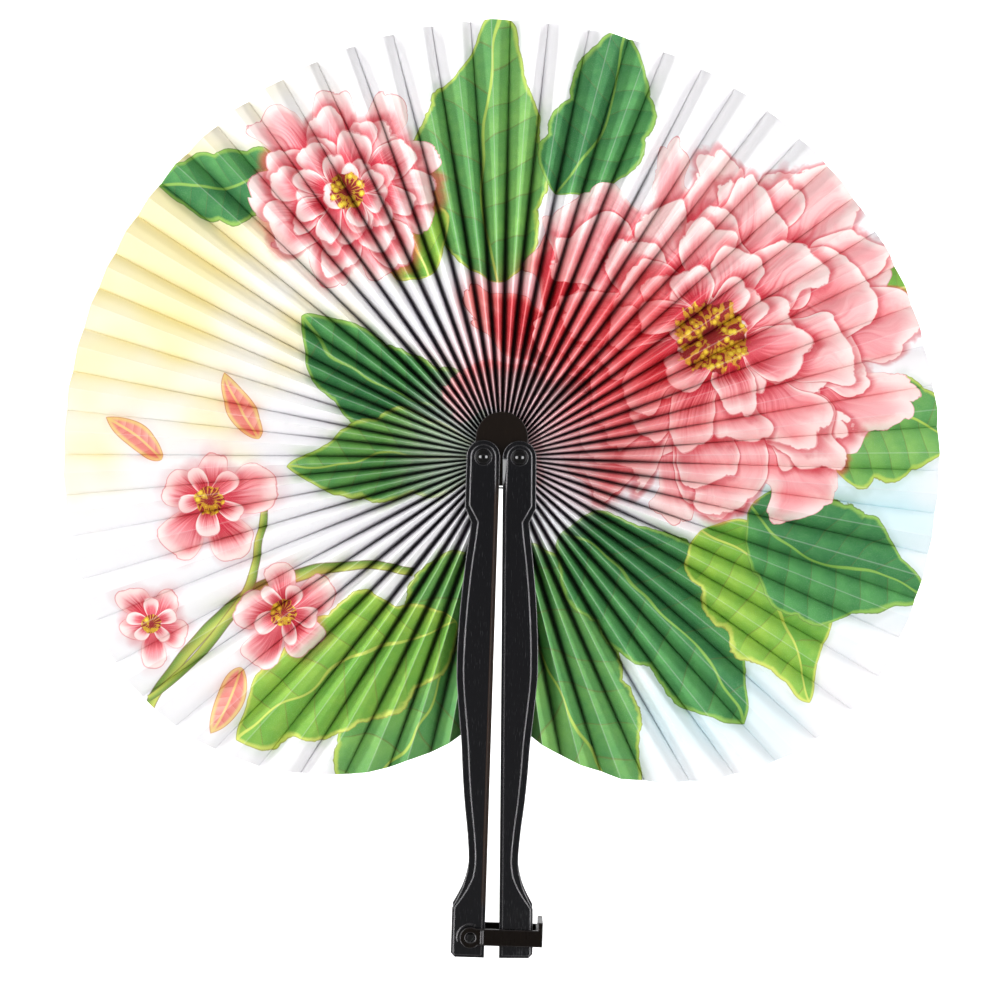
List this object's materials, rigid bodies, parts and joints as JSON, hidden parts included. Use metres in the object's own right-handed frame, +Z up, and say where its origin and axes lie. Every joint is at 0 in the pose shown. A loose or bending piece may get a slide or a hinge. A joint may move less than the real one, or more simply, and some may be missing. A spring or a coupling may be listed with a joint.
{
  "type": "paper hand fan",
  "caption": "Round pleated paper hand fan that opens to a full disc, with two channel handles pivoted on a hub and a latch at their feet.",
  "frame": {"origin": "in the middle of the grip, half way along the two handles, in the gap between them and half way through their depth", "axes": "+Z up along the handles towards the hub and the top of the disc, +X to the right as seen from the printed front, -Y out of the printed front"},
  "size_m": [0.2528, 0.0158, 0.2699],
  "materials": {
    "handle_black": "satin moulded black, scuffed at the feet",
    "hub_black": "matt brown-black",
    "pin_black": "glossy black",
    "latch_black": "matt brown-black",
    "ring_wire": "plain wire",
    "printed_paper": null
  },
  "bodies": {
    "hub": {"hub_core": "hub_black", "hub_front_plate": "hub_black", "hub_rear_plate": "hub_black", "gather_ring": "ring_wire", "pivot_pin_left": "pin_black", "pivot_pin_right": "pin_black"},
    "left_handle": {"handle_left": "handle_black", "latch_pin": "pin_black", "leaf_end_left": "printed_paper"},
    "right_handle": {"handle_right": "handle_black", "leaf_end_right": "printed_paper"},
    "latch": {"latch": "latch_black"},
    "leaf_left_01": {"leaf_left_01": "printed_paper"},
    "leaf_left_02": {"leaf_left_02": "printed_paper"},
    "leaf_left_03": {"leaf_left_03": "printed_paper"},
    "leaf_left_04": {"leaf_left_04": "printed_paper"},
    "leaf_left_05": {"leaf_left_05": "printed_paper"},
    "leaf_left_06": {"leaf_left_06": "printed_paper"},
    "leaf_left_07": {"leaf_left_07": "printed_paper"},
    "leaf_left_08": {"leaf_left_08": "printed_paper"},
    "leaf_left_09": {"leaf_left_09": "printed_paper"},
    "leaf_left_10": {"leaf_left_10": "printed_paper"},
    "leaf_left_11": {"leaf_left_11": "printed_paper"},
    "leaf_left_12": {"leaf_left_12": "printed_paper"},
    "leaf_left_13": {"leaf_left_13": "printed_paper"},
    "leaf_left_14": {"leaf_left_14": "printed_paper"},
    "leaf_left_15": {"leaf_left_15": "printed_paper"},
    "leaf_right_01": {"leaf_right_01": "printed_paper"},
    "leaf_right_02": {"leaf_right_02": "printed_paper"},
    "leaf_right_03": {"leaf_right_03": "printed_paper"},
    "leaf_right_04": {"leaf_right_04": "printed_paper"},
    "leaf_right_05": {"leaf_right_05": "printed_paper"},
    "leaf_right_06": {"leaf_right_06": "printed_paper"},
    "leaf_right_07": {"leaf_right_07": "printed_paper"},
    "leaf_right_08": {"leaf_right_08": "printed_paper"},
    "leaf_right_09": {"leaf_right_09": "printed_paper"},
    "leaf_right_10": {"leaf_right_10": "printed_paper"},
    "leaf_right_11": {"leaf_right_11": "printed_paper"},
    "leaf_right_12": {"leaf_right_12": "printed_paper"},
    "leaf_right_13": {"leaf_right_13": "printed_paper"},
    "leaf_right_14": {"leaf_right_14": "printed_paper"},
    "leaf_right_15": {"leaf_right_15": "printed_paper"}
  },
  "joints": [
    {"name": "left_swing", "type": "hinge", "parent": "hub", "child": "left_handle", "pos_m": [-0.0052, 0, 0.072], "axis": [0, 1, 0], "range_deg": [0, 178.3], "deforming": ["leaf_end_left"]},
    {"name": "right_swing", "type": "hinge", "parent": "hub", "child": "right_handle", "pos_m": [0.0052, 0, 0.072], "axis": [0, -1, 0], "range_deg": [0, 178.3], "deforming": ["leaf_end_right"]},
    {"name": "latch_swing", "type": "hinge", "parent": "left_handle", "child": "latch", "pos_m": [-0.00618, 0, -0.0657], "axis": [0, 1, 0], "range_deg": [0, 110]},
    {"name": "leaf_left_01_turn", "type": "hinge", "parent": "hub", "child": "leaf_left_01", "pos_m": [0, 0, 0.072], "axis": [0, 1, 0], "range_deg": [0, 5.02], "deforming": ["leaf_left_01"]},
    {"name": "leaf_left_02_turn", "type": "hinge", "parent": "hub", "child": "leaf_left_02", "pos_m": [0, 0, 0.072], "axis": [0, 1, 0], "range_deg": [0, 15.05], "deforming": ["leaf_left_02"]},
    {"name": "leaf_left_03_turn", "type": "hinge", "parent": "hub", "child": "leaf_left_03", "pos_m": [0, 0, 0.072], "axis": [0, 1, 0], "range_deg": [0, 25.12], "deforming": ["leaf_left_03"]},
    {"name": "leaf_left_04_turn", "type": "hinge", "parent": "hub", "child": "leaf_left_04", "pos_m": [0, 0, 0.072], "axis": [0, 1, 0], "range_deg": [0, 35.24], "deforming": ["leaf_left_04"]},
    {"name": "leaf_left_05_turn", "type": "hinge", "parent": "hub", "child": "leaf_left_05", "pos_m": [0, 0, 0.072], "axis": [0, 1, 0], "range_deg": [0, 45.43], "deforming": ["leaf_left_05"]},
    {"name": "leaf_left_06_turn", "type": "hinge", "parent": "hub", "child": "leaf_left_06", "pos_m": [0, 0, 0.072], "axis": [0, 1, 0], "range_deg": [0, 55.71], "deforming": ["leaf_left_06"]},
    {"name": "leaf_left_07_turn", "type": "hinge", "parent": "hub", "child": "leaf_left_07", "pos_m": [0, 0, 0.072], "axis": [0, 1, 0], "range_deg": [0, 66.09], "deforming": ["leaf_left_07"]},
    {"name": "leaf_left_08_turn", "type": "hinge", "parent": "hub", "child": "leaf_left_08", "pos_m": [0, 0, 0.072], "axis": [0, 1, 0], "range_deg": [0, 76.61], "deforming": ["leaf_left_08"]},
    {"name": "leaf_left_09_turn", "type": "hinge", "parent": "hub", "child": "leaf_left_09", "pos_m": [0, 0, 0.072], "axis": [0, 1, 0], "range_deg": [0, 87.28], "deforming": ["leaf_left_09"]},
    {"name": "leaf_left_10_turn", "type": "hinge", "parent": "hub", "child": "leaf_left_10", "pos_m": [0, 0, 0.072], "axis": [0, 1, 0], "range_deg": [0, 98.11], "deforming": ["leaf_left_10"]},
    {"name": "leaf_left_11_turn", "type": "hinge", "parent": "hub", "child": "leaf_left_11", "pos_m": [0, 0, 0.072], "axis": [0, 1, 0], "range_deg": [0, 109.14], "deforming": ["leaf_left_11"]},
    {"name": "leaf_left_12_turn", "type": "hinge", "parent": "hub", "child": "leaf_left_12", "pos_m": [0, 0, 0.072], "axis": [0, 1, 0], "range_deg": [0, 120.37], "deforming": ["leaf_left_12"]},
    {"name": "leaf_left_13_turn", "type": "hinge", "parent": "hub", "child": "leaf_left_13", "pos_m": [0, 0, 0.072], "axis": [0, 1, 0], "range_deg": [0, 131.83], "deforming": ["leaf_left_13"]},
    {"name": "leaf_left_14_turn", "type": "hinge", "parent": "hub", "child": "leaf_left_14", "pos_m": [0, 0, 0.072], "axis": [0, 1, 0], "range_deg": [0, 143.54], "deforming": ["leaf_left_14"]},
    {"name": "leaf_left_15_turn", "type": "hinge", "parent": "hub", "child": "leaf_left_15", "pos_m": [0, 0, 0.072], "axis": [0, 1, 0], "range_deg": [0, 155.52], "deforming": ["leaf_left_15"]},
    {"name": "leaf_right_01_turn", "type": "hinge", "parent": "hub", "child": "leaf_right_01", "pos_m": [0, 0, 0.072], "axis": [0, -1, 0], "range_deg": [0, 5.02], "deforming": ["leaf_right_01"]},
    {"name": "leaf_right_02_turn", "type": "hinge", "parent": "hub", "child": "leaf_right_02", "pos_m": [0, 0, 0.072], "axis": [0, -1, 0], "range_deg": [0, 15.05], "deforming": ["leaf_right_02"]},
    {"name": "leaf_right_03_turn", "type": "hinge", "parent": "hub", "child": "leaf_right_03", "pos_m": [0, 0, 0.072], "axis": [0, -1, 0], "range_deg": [0, 25.12], "deforming": ["leaf_right_03"]},
    {"name": "leaf_right_04_turn", "type": "hinge", "parent": "hub", "child": "leaf_right_04", "pos_m": [0, 0, 0.072], "axis": [0, -1, 0], "range_deg": [0, 35.24], "deforming": ["leaf_right_04"]},
    {"name": "leaf_right_05_turn", "type": "hinge", "parent": "hub", "child": "leaf_right_05", "pos_m": [0, 0, 0.072], "axis": [0, -1, 0], "range_deg": [0, 45.43], "deforming": ["leaf_right_05"]},
    {"name": "leaf_right_06_turn", "type": "hinge", "parent": "hub", "child": "leaf_right_06", "pos_m": [0, 0, 0.072], "axis": [0, -1, 0], "range_deg": [0, 55.71], "deforming": ["leaf_right_06"]},
    {"name": "leaf_right_07_turn", "type": "hinge", "parent": "hub", "child": "leaf_right_07", "pos_m": [0, 0, 0.072], "axis": [0, -1, 0], "range_deg": [0, 66.09], "deforming": ["leaf_right_07"]},
    {"name": "leaf_right_08_turn", "type": "hinge", "parent": "hub", "child": "leaf_right_08", "pos_m": [0, 0, 0.072], "axis": [0, -1, 0], "range_deg": [0, 76.61], "deforming": ["leaf_right_08"]},
    {"name": "leaf_right_09_turn", "type": "hinge", "parent": "hub", "child": "leaf_right_09", "pos_m": [0, 0, 0.072], "axis": [0, -1, 0], "range_deg": [0, 87.28], "deforming": ["leaf_right_09"]},
    {"name": "leaf_right_10_turn", "type": "hinge", "parent": "hub", "child": "leaf_right_10", "pos_m": [0, 0, 0.072], "axis": [0, -1, 0], "range_deg": [0, 98.11], "deforming": ["leaf_right_10"]},
    {"name": "leaf_right_11_turn", "type": "hinge", "parent": "hub", "child": "leaf_right_11", "pos_m": [0, 0, 0.072], "axis": [0, -1, 0], "range_deg": [0, 109.14], "deforming": ["leaf_right_11"]},
    {"name": "leaf_right_12_turn", "type": "hinge", "parent": "hub", "child": "leaf_right_12", "pos_m": [0, 0, 0.072], "axis": [0, -1, 0], "range_deg": [0, 120.37], "deforming": ["leaf_right_12"]},
    {"name": "leaf_right_13_turn", "type": "hinge", "parent": "hub", "child": "leaf_right_13", "pos_m": [0, 0, 0.072], "axis": [0, -1, 0], "range_deg": [0, 131.83], "deforming": ["leaf_right_13"]},
    {"name": "leaf_right_14_turn", "type": "hinge", "parent": "hub", "child": "leaf_right_14", "pos_m": [0, 0, 0.072], "axis": [0, -1, 0], "range_deg": [0, 143.54], "deforming": ["leaf_right_14"]},
    {"name": "leaf_right_15_turn", "type": "hinge", "parent": "hub", "child": "leaf_right_15", "pos_m": [0, 0, 0.072], "axis": [0, -1, 0], "range_deg": [0, 155.52], "deforming": ["leaf_right_15"]}
  ],
  "couplings": [
    {"joint": "leaf_left_01_turn", "follows": "left_swing", "ratio": 0.028124},
    {"joint": "leaf_left_02_turn", "follows": "left_swing", "ratio": 0.084427},
    {"joint": "leaf_left_03_turn", "follows": "left_swing", "ratio": 0.1409},
    {"joint": "leaf_left_04_turn", "follows": "left_swing", "ratio": 0.19765},
    {"joint": "leaf_left_05_turn", "follows": "left_swing", "ratio": 0.25479},
    {"joint": "leaf_left_06_turn", "follows": "left_swing", "ratio": 0.31243},
    {"joint": "leaf_left_07_turn", "follows": "left_swing", "ratio": 0.37069},
    {"joint": "leaf_left_08_turn", "follows": "left_swing", "ratio": 0.42967},
    {"joint": "leaf_left_09_turn", "follows": "left_swing", "ratio": 0.48949},
    {"joint": "leaf_left_10_turn", "follows": "left_swing", "ratio": 0.55025},
    {"joint": "leaf_left_11_turn", "follows": "left_swing", "ratio": 0.61208},
    {"joint": "leaf_left_12_turn", "follows": "left_swing", "ratio": 0.67508},
    {"joint": "leaf_left_13_turn", "follows": "left_swing", "ratio": 0.73936},
    {"joint": "leaf_left_14_turn", "follows": "left_swing", "ratio": 0.80504},
    {"joint": "leaf_left_15_turn", "follows": "left_swing", "ratio": 0.87222},
    {"joint": "leaf_right_01_turn", "follows": "right_swing", "ratio": 0.028124},
    {"joint": "leaf_right_02_turn", "follows": "right_swing", "ratio": 0.084427},
    {"joint": "leaf_right_03_turn", "follows": "right_swing", "ratio": 0.1409},
    {"joint": "leaf_right_04_turn", "follows": "right_swing", "ratio": 0.19765},
    {"joint": "leaf_right_05_turn", "follows": "right_swing", "ratio": 0.25479},
    {"joint": "leaf_right_06_turn", "follows": "right_swing", "ratio": 0.31243},
    {"joint": "leaf_right_07_turn", "follows": "right_swing", "ratio": 0.37069},
    {"joint": "leaf_right_08_turn", "follows": "right_swing", "ratio": 0.42967},
    {"joint": "leaf_right_09_turn", "follows": "right_swing", "ratio": 0.48949},
    {"joint": "leaf_right_10_turn", "follows": "right_swing", "ratio": 0.55025},
    {"joint": "leaf_right_11_turn", "follows": "right_swing", "ratio": 0.61208},
    {"joint": "leaf_right_12_turn", "follows": "right_swing", "ratio": 0.67508},
    {"joint": "leaf_right_13_turn", "follows": "right_swing", "ratio": 0.73936},
    {"joint": "leaf_right_14_turn", "follows": "right_swing", "ratio": 0.80504},
    {"joint": "leaf_right_15_turn", "follows": "right_swing", "ratio": 0.87222}
  ]
}
